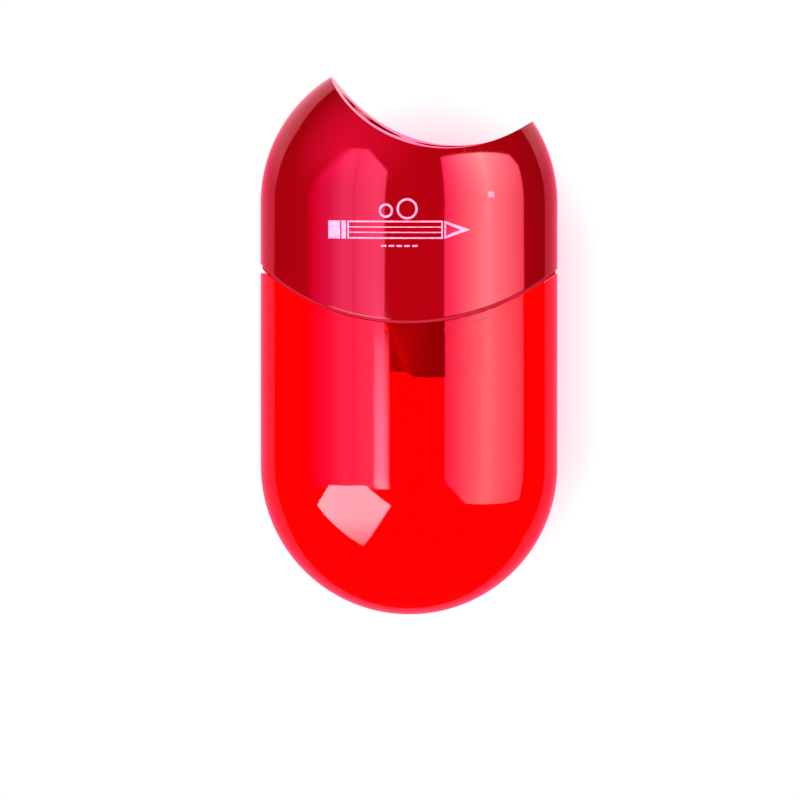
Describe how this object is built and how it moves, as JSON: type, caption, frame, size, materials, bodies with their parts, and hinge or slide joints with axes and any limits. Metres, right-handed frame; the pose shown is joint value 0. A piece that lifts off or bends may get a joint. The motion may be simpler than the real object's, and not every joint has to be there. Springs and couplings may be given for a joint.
{
  "type": "pencil sharpener",
  "caption": "Oval pocket pencil sharpener: dark red cap with two pencil holes in a scooped end, screwed blades inside, and a clear red shavings container that pulls off.",
  "frame": {"origin": "middle of the bounding box's bottom face, on the flat land the sharpener lies on", "axes": "+Y along the sharpener towards the pencil holes, +Z out of its front face, +X to the right with the holes at the top, towards the large hole"},
  "size_m": [0.04, 0.0724, 0.0247],
  "materials": {
    "cap_plastic": "polished opaque deep red",
    "clear_red_plastic": "polished translucent bright red",
    "cast_alloy": "fine blasted light alloy",
    "blade_steel": "ground carbon steel",
    "screw_steel": "bright plated"
  },
  "bodies": {
    "cap": {"cap_shell": "cap_plastic", "sharpener_body": "cast_alloy", "standard_blade": "blade_steel", "jumbo_blade": "blade_steel", "standard_blade_screw": "screw_steel", "jumbo_blade_screw": "screw_steel"},
    "container": {"container_shell": "clear_red_plastic"}
  },
  "joints": [
    {"name": "container_pull", "type": "slide", "parent": "cap", "child": "container", "axis": [0, -1, 0], "range_m": [0, 0.045]}
  ]
}
